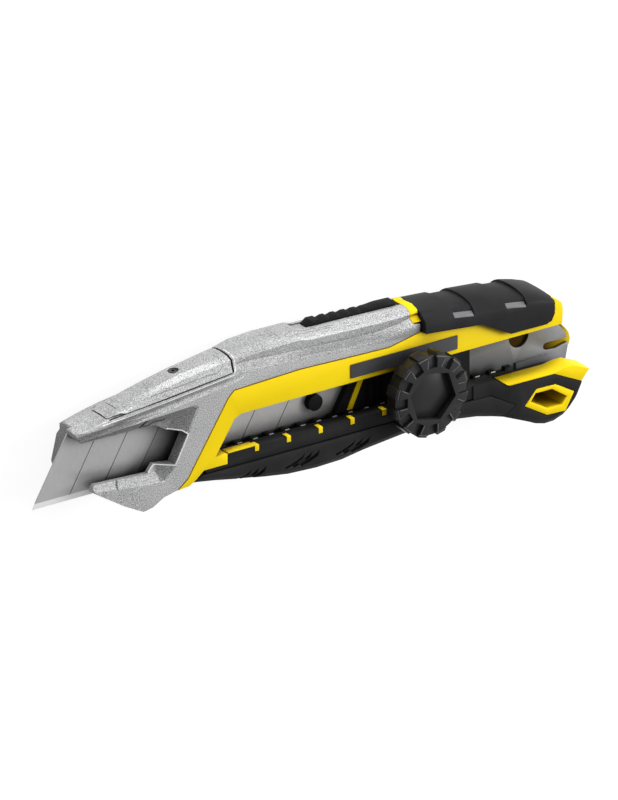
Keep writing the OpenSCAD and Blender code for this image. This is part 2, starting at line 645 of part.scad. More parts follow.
// The carriage's plate lies under the blade; its block starts behind the blade's rear end
module carriage() color("#262626") placed() difference() {
    block_x = blade_len - slant + 0.9;
    union() {
        slab(plate_back, plate_z) polygon([[tang_x - 6, wheel_y - 5], [tang_x + 6, 0.3],
            [carriage_x1, 0.3], [carriage_x1, blade_h - 0.3], [tang_x + 10, blade_h - 0.3],
            [tang_x - 6, wheel_y + 5]]);
        // block behind the blade, low where the rack passes
        slab(plate_z - 0.1, 0.7) polygon([[block_x, 0.3], [carriage_x1, 0.3],
            [carriage_x1, blade_h - 0.3], [block_x + slant, blade_h - 0.3]]);
        // its front laps over the blade's rear end
        slab(blade_t / 2 + 0.1, 2.1) polygon([[block_x - 1.9, rail_top + 0.3],
            [carriage_x1, rail_top + 0.3], [carriage_x1, blade_h - 0.3],
            [block_x + 5.8, blade_h - 0.3]]);
        // boss that carries the wheel
        translate([wheel_x, wheel_y, 0]) cylinder(r = boss_r, h = boss_top);
        slab(2, 4.6) polygon([[wheel_x, rail_top + 0.5], [carriage_x1, rail_top + 0.5],
            [carriage_x1, window_top - 0.3], [wheel_x, window_top - 0.3]]);
    }
    translate([wheel_x, wheel_y, -far]) cylinder(r = bolt_d / 2 + run_gap, h = far * 2);
    translate([wheel_x, wheel_y, -far]) cylinder(r = bolt_d / 2 + 1.6, h = far - 0.2);
    // upright ribs in front of the boss
    for (k = [0 : 2]) translate([wheel_x - 11.2 + k * 2.2, 0, 0])
        box([0, rail_top, 1.3], [1.2, window_top + 0.4, 3]);
    slab(1.4, 3) insert_outline(seam);
    box([wheel_x + 1.6, 0, 0.85], [carriage_x1 + 1, 5.8, 3]);
}

module insert_outline(gap) {
    translate([wheel_x - 16.8, rail_top + 0.6]) polygon([[-1.5 * gap, -gap], [1.6 + gap, -gap],
        [4.9 + 1.5 * gap, 7.2 + gap], [3.3 - gap, 7.2 + gap]]);
}

module carriage_insert() color("gold") placed() slab(1.45, 2.3) insert_outline(0);

module blade_stud() color("#202020") placed() translate([tang_x, wheel_y, plate_z + 0.02]) {
    cylinder(r = tang_hole_d / 2 - 0.12, h = 2.3);
}

module detent_spring() color("silver") placed() translate([wheel_x, 0, 0]) slab(1.0, 2.0)
    polygon([[1.8, 5.75], [1.8, 5.4], [13.4, 4.7], [15.2, 4.15], [17, 4.9], [17.8, 4.9],
        [17.8, 5.2], [16.8, 5.2], [15.2, 4.5], [13.6, 5]]);

// ---------- wheel ----------

module on_wheel_axis() {
    translate([wheel_x, wheel_y, 0]) children();
}

module wheel_bolt() color("silver") placed() on_wheel_axis() {
    $fn = 32;
    translate([0, 0, plate_back + 0.05]) cylinder(r = bolt_d / 2 + 1.5, h = 1.2);
    translate([0, 0, plate_back + 0.5]) cylinder(r = bolt_d / 2, h = wheel_face - 3.4 - plate_back);
}

module wheel_washer() color("silver") placed() on_wheel_axis() difference() {
    $fn = 32;
    translate([0, 0, boss_top + 0.02]) cylinder(r = 5.6, h = washer_t - 0.02);
    cylinder(r = bolt_d / 2 + run_gap, h = far);
}

// Hexagonal prism of the recess, turned a little against the knife
module wheel_hexagon(z0, z1, gap) {
    translate([0, 0, z0]) rotate(-12) cylinder(d = cap_d + 2 * gap, h = z1 - z0, $fn = 6);
}

module wheel_knob() color("#202020") placed() on_wheel_axis() difference() {
    rim_back = wheel_back + 2;
    rim_r = wheel_d / 2 - 0.3;
    union() {
        translate([0, 0, wheel_back]) cylinder(r = hub_r, h = wheel_t - 1);
        translate([0, 0, rim_back])
            cylinder(r1 = rim_r - 0.9, r2 = rim_r, h = wheel_face - rim_back - 0.59);
        translate([0, 0, wheel_face - 0.6]) cylinder(r1 = rim_r, r2 = rim_r - 0.6, h = 0.6);
        // lugs
        for (k = [0 : lugs - 1]) rotate((k + 0.5) * 360 / lugs) translate([wheel_d / 2 - 2.2,
            -1.25, rim_back + 1.2]) cube([2.2, 2.5, wheel_t - 3.8]);
    }
    cylinder(r = bolt_d / 2 + 1.3, h = wheel_face - 2.7);
    wheel_hexagon(wheel_face - 2.3, wheel_face + 1, 0);
    // shallow pockets in the face, open to the rim
    for (k = [0 : lugs - 1]) rotate(k * 360 / lugs)
        translate([cap_d / 2 + 0.6, -1.25, wheel_face - 1]) cube([9, 2.5, 9]);
}

module wheel_insert() color("darkgoldenrod") placed() on_wheel_axis() difference() {
    $fn = 32;
    translate([0, 0, wheel_back + 0.3]) cylinder(r = bolt_d / 2 + 1.25, h = wheel_t - 3.1);
    cylinder(r = bolt_d / 2 + run_gap, h = far);
}

module wheel_cap() color("#1c1c1c") placed() on_wheel_axis()
    wheel_hexagon(wheel_face - 2.28, wheel_face - 1.6, -seam);

// ---------- grips and tail ----------

// Height of the upper grip's middle line at a share of its length
function grip_y(t) = blade_h + lookup(t, [[0, 9.5], [0.2, 8.95], [0.4, 8.3], [0.62, 7.5],
    [0.8, 6.6], [0.9, 5.5], [0.98, 4.1], [1, 3.8]]);

// A flat back, soft shoulders and upright sides; sunk may lower the back and draw the sides in
function grip_half(t, low, narrow) = let (y = grip_y(t) - low, w = grip_face - narrow,
    k = lookup(t, [[0.7, 1], [1, 0.3]]))
    [[0, y], [2.7, y - 0.15 * k], [5.3, y - 0.7 * k], [min(w - 0.3, 6.6), y - 1.5 * k],
     [w - 0.25, y - 2.6 * k], [w, y - 4.2 * k], [w, 8], [0, 8]];

module grip_form(low, narrow) {
    loft([for (t = [0, 0.1, 0.2, 0.3, 0.4, 0.52, 0.62, 0.71, 0.8, 0.86, 0.92, 0.97, 1])
        [along_grip(t), grip_half(t, low, narrow)]]);
}

module upper_grip_outline() {
    polygon(concat(grip_edge, [[tail(10.4), blade_h + 3.4], [tail(10.4), far], [grip_x0, far],
        [grip_x0, blade_h + 6.9]]));
}

// Two shallow straps across the upper grip end on sloping ledges at its sides
strap_places = [0.252, 0.642];
strap_len = 6;
strap_lean = 8;
ledge_z = grip_face - 1.4;

module on_straps() {
    for (t = strap_places) translate([along_grip(t), grip_y(t) - 0.1, 0])
        rotate(-strap_lean) children();
}

// Section above the ledges, raised by a little
module over_ledges(lift) {
    rotate([0, 90, 0]) linear_extrude(strap_len) polygon([[-far, far], [-far, -far],
        [-grip_face, -3.0 + lift], [-ledge_z, -2.2 + lift], [ledge_z, -2.2 + lift],
        [grip_face, -3.0 + lift], [far, -far], [far, far]]);
}

module upper_grip() color("#242424") placed() difference() {
    intersection() {
        grip_form(0, 0);
        slab(-far, far) upper_grip_outline();
        behind(grip_x0);
    }
    difference() {
        on_straps() over_ledges(0);
        grip_form(0.55, 1.4);
    }
    slab(-grip_core - seam, grip_core + seam) grip_core_outline(seam);
    box([0, 0, -core - seam], [far * 3, channel_top + channel_t + 2 * seam, core + seam]);
    screw_heads(2 + seam, grip_core - 0.5);
}

// A pad lies on each ledge
module grip_inserts() color("gray") placed() intersection() {
    difference() {
        on_straps() translate([0.15, 0, 0]) scale([0.95, 1, 1]) difference() {
            over_ledges(0.02);
            over_ledges(0.3);
        }
        grip_form(0.5, 1.35);
    }
    grip_form(0.05, 0.05);
}

// Places between the belly and the tail stretch with the knife
function neck(share) = 106.2 + share * (tail(26.4) - 106.2);

function belly_y(x) = lookup(x, [[42, -1.5], [50, -2.6], [57.8, -4.1], [65, -5.35], [71.8, -6.35],
    [80, -6.75], [87.7, -6.5], [94, -5.5], [neck(0), -4.2], [neck(0.25), -4], [neck(0.5), -4.1],
    [neck(0.75), -5.1], [neck(1), -6.7], [tail(21), -8.7], [tail(17.4), -10.4], [tail(14.7), -11.1],
    [tail(12), -11], [tail(9.2), -10], [tail(7.4), -8.6], [tail(5.6), -6.6], [tail(4.3), -4],
    [tail(3.6), -2]]);

function under_half(x) = let (y = belly_y(x), w = lookup(x, [[42, face], [50, belly_face],
    [tail(30.4), belly_face], [tail(22.4), tail_face]])) [[0, 6], [w, 6], [w, y + 1.5],
    [w - 0.8, y + 0.2], [w * 0.5, y - 0.3], [0, y - 0.4]];

// The underside's form through given stations
module under_form(stations) {
    loft([for (x = stations) [x, under_half(x)]]);
}

module belly_outline(gap) {
    polygon([[42.5, -20], [42.5, -1.9], [44.6, -0.7], [46.6, gap], [tail(30) + gap / 2, gap - 0.1],
        [tail(23.6) + 1.3 * gap, -3.6], [tail(27) + gap, -6.4], [tail(27.6) + gap, -20]]);
}

module channel_room() {
    box([0, channel_low - channel_t - seam, -core - seam], [far * 4, far, core + seam]);
}

module lower_grip() color("#242424") placed() difference() {
    intersection() {
        under_form([42, 46, 50, 57.8, 65, 71.8, 80, 87.7, 94, neck(0), neck(0.25), neck(0.5),
            neck(0.75), neck(0.9), tail(26.4), tail(22.4)]);
        slab(-far, far) belly_outline(0);
    }
    channel_room();
    for (side = [0, 1]) mirror([0, 0, side]) slab(belly_face - 1.2, far) rib_grooves();
}

// Crescent grooves in groups of three, the last of each group the widest
rib_tops = [[60.6, -1.8], [76.4, -1.5], [91.4, -1.6]];
rib_step = 2.2;
rib_bow = [[0, 0], [-1.1, -0.75], [-2.4, -1.35], [-3.9, -1.85], [-6, -2.4]];

module rib_grooves() {
    for (g = rib_tops, k = [0 : 2]) translate(g + k * [rib_step, -0.05])
        polygon(concat(rib_bow, [for (i = [4 : -1 : 1])
            rib_bow[i] + (0.55 + 0.15 * k) * [0.55, -1]]));
}

// Corners of the lanyard hole's liner, grown by a gap
function lanyard_hexagon(gap) = [for (p = [[-7.7, 0.1], [-4.2, 3.9], [1.5, 3.8], [7.1, 0.5],
    [4.5, -4.1], [-1, -3.9]]) let (r = norm(p)) liner_at + p * (1 + gap * 1.3 / r)];

// The strip over the tail humps behind its middle and comes to a slanted point
strip_top = 2.9;

module tail_strip() color("gold") placed() intersection() {
    both(core + seam, tail_face) polygon([[tail(26.3), tail_top + 0.1], [tail(12), tail_top],
        [tail(8.8), strip_top], [tail(6.6), strip_top], [tail(1.8), 0.9], [tail(4.2), -1.9],
        [tail(12.2), 1.95], [tail(25.4), 2.1]]);
    translate([0, far, 0]) rotate([90, 0, 0]) linear_extrude(far * 2) polygon([[0, -far],
        [tail(4.2), -far], [tail(1.8), -4.5], [tail(1.8), 4.5], [tail(4.2), far], [0, far]]);
}

module lanyard_liner() color("gold") placed() difference() {
    slab(-tail_face, tail_face) polygon(lanyard_hexagon(0));
    slab(-far, far) polygon([for (p = [[-5.8, 0.8], [-4.4, 2.7], [0.5, 2.65], [4.8, -0.3], [3.4, -2.1],
        [-0.8, -2.1]]) liner_at + p]);
    channel_room();
}

die_cast_body();
snap_lever();
lever_pin();
thumb_slide();
snap_cam();
slide_spring();
near_frame();
far_frame();
blade_channel();
rack_strip();
lower_rail();
rail_clips();
blade();
carriage();
blade_stud();
carriage_insert();
detent_spring();
wheel_bolt();
wheel_washer();
wheel_knob();
wheel_insert();
wheel_cap();
upper_grip();
grip_inserts();
lower_grip();
tail_strip();
lanyard_liner();
label_plate();
case_screws();
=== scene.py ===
import json
import math

import bpy
from mathutils import Matrix, Vector
from mathutils.bvhtree import BVHTree


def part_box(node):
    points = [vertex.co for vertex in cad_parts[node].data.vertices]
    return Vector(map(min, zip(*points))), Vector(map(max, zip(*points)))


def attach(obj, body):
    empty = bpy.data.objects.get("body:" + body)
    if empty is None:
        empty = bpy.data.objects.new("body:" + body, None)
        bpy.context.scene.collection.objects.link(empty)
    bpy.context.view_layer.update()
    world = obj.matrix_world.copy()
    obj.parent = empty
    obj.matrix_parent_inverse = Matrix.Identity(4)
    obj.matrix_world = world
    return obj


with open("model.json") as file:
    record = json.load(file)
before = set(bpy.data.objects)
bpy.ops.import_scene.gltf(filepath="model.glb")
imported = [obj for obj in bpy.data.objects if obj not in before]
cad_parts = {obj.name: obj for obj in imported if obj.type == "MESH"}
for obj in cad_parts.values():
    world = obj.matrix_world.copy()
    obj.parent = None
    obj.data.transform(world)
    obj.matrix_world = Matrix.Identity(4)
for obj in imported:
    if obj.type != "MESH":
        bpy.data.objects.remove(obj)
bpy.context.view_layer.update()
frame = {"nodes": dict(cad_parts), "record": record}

MM = 0.001
nodes = frame["nodes"]
scene = bpy.context.scene

# The design's zero, the blade's tip at rest, in the row frame (mm)
blade_low, blade_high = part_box("blade")
TIP = Vector((blade_low[0], blade_low[1], (blade_low[2] + blade_high[2]) / 2))


def at(x, y, z):
    """A point given in millimetres from the blade's tip."""
    return TIP + Vector((x, y, z)) * MM


SIDE = (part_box("near_frame")[1][2] - TIP.z) / MM      # side face's height over the blade's middle


# ---------------------------------------------------------------- materials

class Graph:
    """A small helper round a material's node tree."""

    def __init__(self, name, metallic=0.0, roughness=0.5, specular=0.5):
        self.mat = bpy.data.materials.new(name)
        self.mat.use_nodes = True
        self.tree = self.mat.node_tree
        self.bsdf = self.tree.nodes["Principled BSDF"]
        self.bsdf.inputs["Metallic"].default_value = metallic
        self.bsdf.inputs["Roughness"].default_value = roughness
        self.bsdf.inputs["Specular IOR Level"].default_value = specular
        self.coords = self.tree.nodes.new("ShaderNodeTexCoord").outputs["Object"]

    def link(self, a, b):
        self.tree.links.new(a, b)

    def noise(self, scale, detail=2.0, rough=0.5, stretch=None):
        source = self.coords
        if stretch:
            m = self.tree.nodes.new("ShaderNodeMapping")
            m.inputs["Scale"].default_value = stretch
            self.link(source, m.inputs["Vector"])
            source = m.outputs["Vector"]
        n = self.tree.nodes.new("ShaderNodeTexNoise")
        n.inputs["Scale"].default_value = scale
        n.inputs["Detail"].default_value = detail
        n.inputs["Roughness"].default_value = rough
        self.link(source, n.inputs["Vector"])
        return n.outputs["Fac"]

    def along(self, place, direction, start, end):
        """Rises smoothly from 0 to 1 between two distances (mm) from a place, in a direction."""
        way = Vector(direction).normalized()
        zero = at(*place).dot(way)
        dot = self.tree.nodes.new("ShaderNodeVectorMath")
        dot.operation = "DOT_PRODUCT"
        dot.inputs[1].default_value = way
        self.link(self.coords, dot.inputs[0])
        n = self.tree.nodes.new("ShaderNodeMapRange")
        n.interpolation_type = "SMOOTHSTEP"
        n.inputs["From Min"].default_value = zero + start * MM
        n.inputs["From Max"].default_value = zero + end * MM
        self.link(dot.outputs["Value"], n.inputs["Value"])
        return n.outputs["Result"]

    def math(self, mode, a, b):
        n = self.tree.nodes.new("ShaderNodeMath")
        n.operation = mode
        for socket, value in ((n.inputs[0], a), (n.inputs[1], b)):
            if isinstance(value, (int, float)):
                socket.default_value = value
            else:
                self.link(value, socket)
        return n.outputs[0]

    def times(self, *values):
        """The product of several values."""
        product = values[0]
        for value in values[1:]:
            product = self.math("MULTIPLY", product, value)
        return product

    def painted_occlusion(self, reach):
        """Painted shade: 1 in the open, falling to 0 where solids within reach (mm) shut the surface
        in.
        """
        n = self.tree.nodes.new("ShaderNodeAmbientOcclusion")
        n.samples = 8
        n.inputs["Distance"].default_value = reach * MM
        return n.outputs["AO"]

    def ramp(self, fac, stops):
        n = self.tree.nodes.new("ShaderNodeValToRGB")
        r = n.color_ramp
        while len(r.elements) > 1:
            r.elements.remove(r.elements[-1])
        r.elements[0].position = stops[0][0]
        r.elements[0].color = tuple(stops[0][1]) + (1,)
        for pos, col in stops[1:]:
            e = r.elements.new(pos)
            e.color = tuple(col) + (1,)
        self.link(fac, n.inputs["Fac"])
        return n.outputs["Color"]

    def mix(self, fac, a, b, mode="MIX"):
        n = self.tree.nodes.new("ShaderNodeMix")
        n.data_type = "RGBA"
        n.blend_type = mode
        for socket, value in ((n.inputs[0], fac), (n.inputs[6], a), (n.inputs[7], b)):
            if isinstance(value, (int, float)):
                socket.default_value = value
            elif isinstance(value, tuple):
                socket.default_value = value + (1,)
            else:
                self.link(value, socket)
        return n.outputs[2]

    def toned(self, colour, mask, low, high):
        """Multiplies a colour by low where the mask is 0 and by high where it is 1."""
        tone = self.ramp(mask, [(0.0, grey(low)), (1.0, grey(high))])
        return self.mix(1.0, colour, tone, "MULTIPLY")

    def span(self, value, low, high):
        n = self.tree.nodes.new("ShaderNodeMapRange")
        n.inputs["To Min"].default_value = low
        n.inputs["To Max"].default_value = high
        self.link(value, n.inputs["Value"])
        return n.outputs["Result"]

    def bump(self, height, strength, distance):
        n = self.tree.nodes.new("ShaderNodeBump")
        n.inputs["Strength"].default_value = strength
        n.inputs["Distance"].default_value = distance * MM
        self.link(height, n.inputs["Height"])
        self.link(n.outputs["Normal"], self.bsdf.inputs["Normal"])

    def colour(self, socket):
        self.link(socket, self.bsdf.inputs["Base Color"])

    def roughness(self, socket):
        self.link(socket, self.bsdf.inputs["Roughness"])


def grey(v):
    return (v, v, v)


GROUND_STEEL = (0.78, 0.78, 0.79)   # the blade's ground edge
# painted shade: the share of a steel's colour left where it is most shut in
STEEL_IN_SHADE = 0.02                   # what is left of a steel's colour where it is shut in
SKIN_DEPTH = 0.02                   # height of a moulding's skin texture (mm)
# the reach of the casting's painted shade where solids shut it in
SILVER_SHADE_REACH = 3.2                  # how near solids shut the casting in (mm)
# painted shade on the pocket, the nose front and the bands, and painted light on the nose top, as
# factors on the coat
POCKET_SHADE = 0.5                   # tones of places on the casting, against the open coat
NOSE_SHADE_SHARE = 0.8                    # how far the nose front goes to the pocket's tone
BAND_SHADE = 0.6
NOSE_TOP_LIGHT = 1.15
# painted shade inside the channel's openings
INSIDE_SHADE = 0.16                  # the far frame's face inside the channel, against the deep colour

# Places where painted shade or painted light changes, for Graph.along: a point (mm from the blade's
# tip), a direction, and the distances along it (mm) between which the mask goes from 0 to 1
UNDER_SIDE_FACE = ((0, 0, SIDE), (0, 0, -1), 0.12, 0.3)
BELOW_JAW = ((0, 18.4, 0), (0.041, -1, 0), -0.1, 0.1)
OVER_CLAW = ((0, 6.6, 0), (0, 1, 0), 0, 0.4)
BEHIND_CLAW = ((33.4, 0, 0), (1, 0, 0), 0, 0.4)
AHEAD_OF_STRUT = ((47, 0, 0), (-1, 0, 0), 0, 0.5)
NOSE_FRONT = ((9.9, 0, 0), (-1, 0.06, -0.35), -0.2, 0.2)
OVER_BAND_EDGE = ((0, 27.6, 0), (0.062, 1, 0), 0, 1.0)
UNDER_CREASE = ((0, 31.0, 0), (0.062, 1, 0), 0, -1.6)
ALONG_SPINE = ((50, 0, 0), (1, 0, 0), 0, 36)
UNDER_LEDGE = ((0, 18.05, 0), (-0.11, 1, 0), 0, -0.2)
TROUGH_RISE = ((0, 15.9, 0), (-0.11, 1, 0), 0, 1.8)
TROUGH_FRONT = ((18, 0, 0), (1, 0, 0), 0, 5)
TROUGH_REAR = ((57, 0, 0), (-1, 0, 0), 0, 4)
NOSE_TOP_AHEAD = ((22, 0, 0), (-1, 0, 0), 0, 6)
NOSE_TOP_OVER = ((0, 15.2, 0), (-0.3, 1, 0), -0.6, 0.6)
INSIDE_CHANNEL = (
    ((0, 0, -2.1), (0, 0, -1), 0, 0.2), ((0, 0, -3.3), (0, 0, 1), 0, 0.2),
    ((137, 0, 0), (1, 0, 0), 0, 0.3), ((0, 14, 0), (0, -1, 0), 0, 0.5),
    ((0, 0.8, 0), (0, 1, 0), 0, 0.3),
)
CHANNEL_MOUTH = ((150, 0, 0), (1, -0.6, 0), 0, 9)


def speckled_silver(name, bright, painted_shading=False):
    """Silver powder coat on a casting: light and dark flakes over a grey ground.

    Painted shade darkens the coat where solids shut it in. With painted shading on, painted shade and
    painted light also follow the casting's places, such as the pocket round the blade.
    """
    g = Graph(name, metallic=0.15, roughness=0.42, specular=0.45)
    fine = g.noise(4700, 1.5, 0.6)
    flakes = g.ramp(fine, [(0.30, grey(0.08 * bright)), (0.42, grey(0.22 * bright)),
                           (0.52, grey(0.36 * bright)), (0.62, grey(0.50 * bright)),
                           (0.74, grey(0.70 * bright))])
    cloud = g.ramp(g.noise(240, 3.0), [(0.3, (0.90, 0.905, 0.915)), (0.7, (1.0, 1.0, 1.0))])
    coat = g.mix(1.0, flakes, cloud, "MULTIPLY")
    # painted shade where solids shut the coat in
    occlusion_shade = g.ramp(g.painted_occlusion(SILVER_SHADE_REACH), [(0.25, grey(0.08)), (0.9, grey(1.0))])
    coat = g.mix(1.0, coat, occlusion_shade, "MULTIPLY")
    if painted_shading:
        # painted shade: the pocket's sloping faces and the nose front are darker than the side face
        claw = g.math("MAXIMUM", g.along(*OVER_CLAW), g.along(*BEHIND_CLAW))
        pocket = g.times(g.along(*UNDER_SIDE_FACE), g.along(*BELOW_JAW), claw, g.along(*AHEAD_OF_STRUT))
        pocket = g.math("MAXIMUM", pocket, g.math("MULTIPLY", g.along(*NOSE_FRONT), NOSE_SHADE_SHARE))
        coat = g.toned(coat, pocket, 1.0, POCKET_SHADE)
        # painted shade: a darker band follows the crease along the spine's side, and another lies under
        # the ledge
        band = g.times(g.along(*OVER_BAND_EDGE), g.along(*UNDER_CREASE), g.along(*ALONG_SPINE))
        ledge_shade = g.times(g.along(*UNDER_LEDGE), g.along(*TROUGH_RISE), g.along(*TROUGH_FRONT),
                         g.along(*TROUGH_REAR))
        coat = g.toned(coat, g.math("MAXIMUM", band, ledge_shade), 1.0, BAND_SHADE)
        # painted light: the top of the nose is lighter than the coat
        nose_top_light = g.times(g.along(*NOSE_TOP_AHEAD), g.along(*NOSE_TOP_OVER))
        coat = g.toned(coat, nose_top_light, 1.0, NOSE_TOP_LIGHT)
    g.colour(coat)
    g.roughness(g.span(fine, 0.34, 0.5))
    g.bump(fine, 0.45, 0.03)
    return g.mat


def moulded(name, base, rough, spec=0.5, grain=1800, strength=0.12, spread=0.12, shade_colour=None, reach=2.5):
    """Moulded plastic or rubber: an even colour with a faint cloud and a fine skin texture.

    Given a shade colour, the colour goes over to it as painted shade where solids within reach (mm)
    shut the surface in.
    """
    g = Graph(name, roughness=rough, specular=spec)
    cloud = g.noise(150, 3.0)
    low = tuple(c * (1 - spread) for c in base)
    high = tuple(min(1.0, c * (1 + spread)) for c in base)
    even = g.ramp(cloud, [(0.35, low), (0.65, high)])
    if shade_colour:
        # painted shade: the colour goes over to the shade colour where solids shut it in
        occlusion_shade = g.ramp(g.painted_occlusion(reach), [(0.3, grey(0.0)), (0.85, grey(1.0))])
        # painted shade: the far frame's face inside the channel's openings goes nearly black
        inside = g.times(*(g.along(*edge) for edge in INSIDE_CHANNEL),
                         g.span(g.along(*CHANNEL_MOUTH), 1.0, 0.3))
        even = g.mix(occlusion_shade, shade_colour, even)
        even = g.mix(inside, even, tuple(INSIDE_SHADE * c for c in shade_colour))
    g.colour(even)
    skin = g.noise(grain, 3.0)
    g.roughness(g.span(skin, rough - 0.05, rough + 0.06))
    g.bump(skin, strength, SKIN_DEPTH)
    return g.mat


def steel(name, base, rough, stretch=(1, 12, 12), scale=900, metallic=1.0, vary=0.1, reach=3.0,
          ground_edge=0.0, end_shade=None):
    """Drawn or ground steel: faint lines along one direction, with painted shade where it is shut in.

    ground_edge is the height (mm) of a bright bevel along the blade's edge. The end shade gives where a
    painted shade at one end starts and stops (mm behind the blade's tip), and how dark it starts.
    """
    g = Graph(name, metallic=metallic, roughness=rough)
    lines = g.noise(scale, 3.0, 0.6, stretch=stretch)
    low = tuple(c * (1 - vary) for c in base)
    high = tuple(min(1.0, c * (1 + vary)) for c in base)
    ground = g.ramp(lines, [(0.3, low), (0.7, high)])
    if ground_edge:
        bevel = g.along((0, ground_edge, 0), (0, -1, 0), -0.15, 0.15)
        ground = g.mix(bevel, ground, GROUND_STEEL)
    # painted shade, darkest where it starts and gone where it stops
    if end_shade:
        start, end, least = end_shade
        rising = g.span(g.along((start, 0, 0), (1, 0, 0), 0, end - start), least, 1.0)
        ground = g.mix(1.0, ground, rising, "MULTIPLY")
    # painted shade where solids shut the steel in
    occlusion_shade = g.ramp(g.painted_occlusion(reach), [(0.3, grey(STEEL_IN_SHADE)), (0.9, grey(1.0))])
    g.colour(g.mix(1.0, ground, occlusion_shade, "MULTIPLY"))
    g.roughness(g.span(lines, rough - 0.04, rough + 0.05))
    g.bump(lines, 0.05, 0.005)
    return g.mat


cast_silver = speckled_silver("cast_silver", 1.15, painted_shading=True)
lever_silver = speckled_silver("lever_silver", 1.19)
# the yellow goes over to a brown painted shade where it is shut in
yellow = moulded("yellow_plastic", (0.87, 0.64, 0.008), 0.4, spec=0.06, grain=700, strength=0.03,
                 spread=0.015, shade_colour=(0.21, 0.11, 0.0013), reach=6.0)
rubber = moulded("grip_rubber", (0.018, 0.018, 0.019), 0.46, spec=0.06, grain=2600, strength=0.15)
black = moulded("black_plastic", (0.0065, 0.0065, 0.0069), 0.5, spec=0.07, grain=2600, strength=0.06)
knob = moulded("knob_plastic", (0.0095, 0.0095, 0.010), 0.36, spec=0.25, grain=2600, strength=0.06)
grey_pad = moulded("grey_pad", (0.145, 0.145, 0.15), 0.45, spec=0.25)
label = moulded("label_grey", (0.042, 0.042, 0.046), 0.4, spec=0.3)
# the blade carries a wide painted shade where the casting's walls shut it in
blade_steel = steel("blade_steel", (0.40, 0.40, 0.405), 0.34, stretch=(3, 1, 3), scale=500, vary=0.04,
                    metallic=0.3, reach=4.6, ground_edge=1.5)
# the channel's painted shade is darkest 128 mm behind the tip and gone at 152 mm
channel_steel = steel("channel_steel", (0.17, 0.173, 0.182), 0.42, metallic=0.3, reach=2.5, vary=0.06,
                      end_shade=(128, 152, 0.5))
plain_steel = steel("plain_steel", (0.55, 0.55, 0.57), 0.3)
dark_steel = steel("dark_steel", (0.06, 0.06, 0.063), 0.4)
brass = steel("brass_insert", (0.65, 0.48, 0.2), 0.35)

BY_SLOT = {
    "cast_silver": cast_silver, "lever_silver": lever_silver, "dark_steel": dark_steel,
    "plain_steel": plain_steel, "black_plastic": black, "knob_plastic": knob,
    "yellow_plastic": yellow, "channel_steel": channel_steel, "blade_steel": blade_steel,
    "brass_insert": brass, "grip_rubber": rubber, "grey_pad": grey_pad, "label_grey": label,
}

# ---------------------------------------------------------------- CAD nodes


def smooth_group(name, degrees):
    """Shades smooth across edges flatter than the angle, flat across the others."""
    group = bpy.data.node_groups.new(name, "GeometryNodeTree")
    group.interface.new_socket("Geometry", in_out="INPUT", socket_type="NodeSocketGeometry")
    group.interface.new_socket("Geometry", in_out="OUTPUT", socket_type="NodeSocketGeometry")
    start = group.nodes.new("NodeGroupInput")
    end = group.nodes.new("NodeGroupOutput")
    faces = group.nodes.new("GeometryNodeSetShadeSmooth")
    faces.domain = "FACE"
    edges = group.nodes.new("GeometryNodeSetShadeSmooth")
    edges.domain = "EDGE"
    edges.inputs["Shade Smooth"].default_value = False
    angle = group.nodes.new("GeometryNodeInputMeshEdgeAngle")
    sharp = group.nodes.new("FunctionNodeCompare")
    sharp.data_type = "FLOAT"
    sharp.operation = "GREATER_THAN"
    sharp.inputs[1].default_value = math.radians(degrees)
    group.links.new(angle.outputs["Unsigned Angle"], sharp.inputs[0])
    group.links.new(start.outputs[0], faces.inputs["Geometry"])
    group.links.new(faces.outputs["Geometry"], edges.inputs["Geometry"])
    group.links.new(sharp.outputs["Result"], edges.inputs["Selection"])
    group.links.new(edges.outputs["Geometry"], end.inputs[0])
    return group


# Angles (degrees) under which a node shades smooth
SMOOTH_USUAL = 32
SMOOTH_UNDER = {"die_cast_body": 13, "snap_lever": 13, "upper_grip": 22}
SMOOTH = {angle: smooth_group("smooth_under_%d" % angle, angle)
          for angle in sorted({SMOOTH_USUAL, *SMOOTH_UNDER.values()})}


WELD = 0.002                # mm
BEVEL_SEGMENTS = 2
BEVEL_ANGLE = 30            # degrees


def dress(name, material, bevel=0.0):
    """Gives a CAD node its material, rounded edges (mm) and shading."""
    obj = nodes[name]
    obj.data.materials.clear()
    obj.data.materials.append(material)
    weld = obj.modifiers.new("weld", "WELD")
    weld.merge_threshold = WELD * MM
    if bevel:
        b = obj.modifiers.new("edges", "BEVEL")
        b.width = bevel * MM
        b.segments = BEVEL_SEGMENTS
        b.limit_method = "ANGLE"
        b.angle_limit = math.radians(BEVEL_ANGLE)
        b.use_clamp_overlap = True
    s = obj.modifiers.new("smooth", "NODES")
    s.node_group = SMOOTH[SMOOTH_UNDER.get(name, SMOOTH_USUAL)]


# Width of the rounded edges (mm)
BEVELS = {
    "die_cast_body": 0.25, "snap_lever": 0.25, "near_frame": 0.2, "far_frame": 0.2,
    "lower_grip": 0.2, "upper_grip": 0.3, "tail_strip": 0.2, "lanyard_liner": 0.25,
    "wheel_knob": 0.18, "wheel_cap": 0.1, "thumb_slide": 0.15, "lower_rail": 0.12,
    "rail_clips": 0.08, "carriage": 0.15, "rack_strip": 0.08, "blade_channel": 0.1,
    "blade_stud": 0.25, "label_plate": 0.06, "grip_inserts": 0.05,
}
slots = {s["node"]: s["material_slot"] for s in frame["record"]["subparts"]}
for name in sorted(nodes):
    dress(name, BY_SLOT[slots[name]], BEVELS.get(name, 0.0))

# ---------------------------------------------------------------- strips on the faces


LIFT = 0.006                # how far a strip lies over its face (mm)
STEP = 0.5                  # length of a strip's faces (mm)
GAP = 1.2                   # a strip stops where its points lie further apart than this (mm)
CAST = 3                    # how far over the face a point starts (mm)


def flat_piece(name, verts, faces, material, body):
    data = bpy.data.meshes.new(name)
    data.from_pydata(verts, [], faces)
    obj = bpy.data.objects.new(name, data)
    scene.collection.objects.link(obj)
    data.materials.append(material)
    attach(obj, body)


